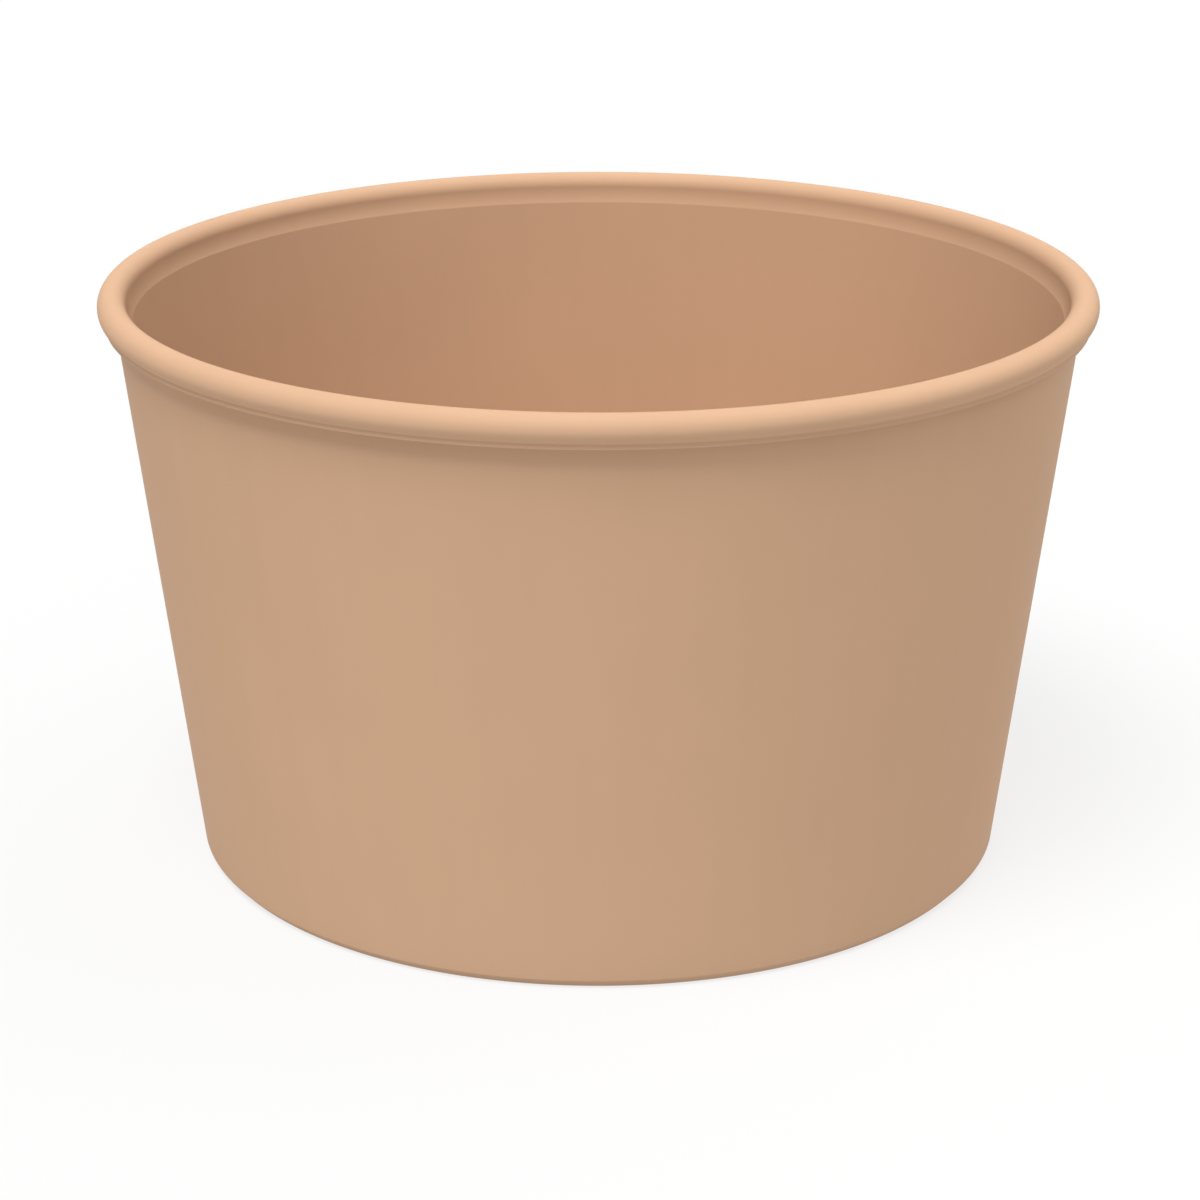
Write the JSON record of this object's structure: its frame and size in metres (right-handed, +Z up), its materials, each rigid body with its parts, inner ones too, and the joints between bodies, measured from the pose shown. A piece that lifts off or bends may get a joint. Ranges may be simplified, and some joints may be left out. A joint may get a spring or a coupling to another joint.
{
  "type": "reusable cup",
  "caption": "Shallow tapered plastic tub cup, moulded in one piece, with a round bead rim, a narrow skirt under it and a lid seat inside the mouth.",
  "frame": {"origin": "centre of the standing ring's circle, on the surface that the cup stands on", "axes": "+Z up along the cup's axis of revolution, towards its mouth; X and Y are free, because the cup is round"},
  "size_m": [0.095, 0.095, 0.056],
  "materials": {
    "cup_plastic": "smooth matte peach-tan"
  },
  "bodies": {
    "root": {"cup": "cup_plastic"}
  },
  "joints": []
}
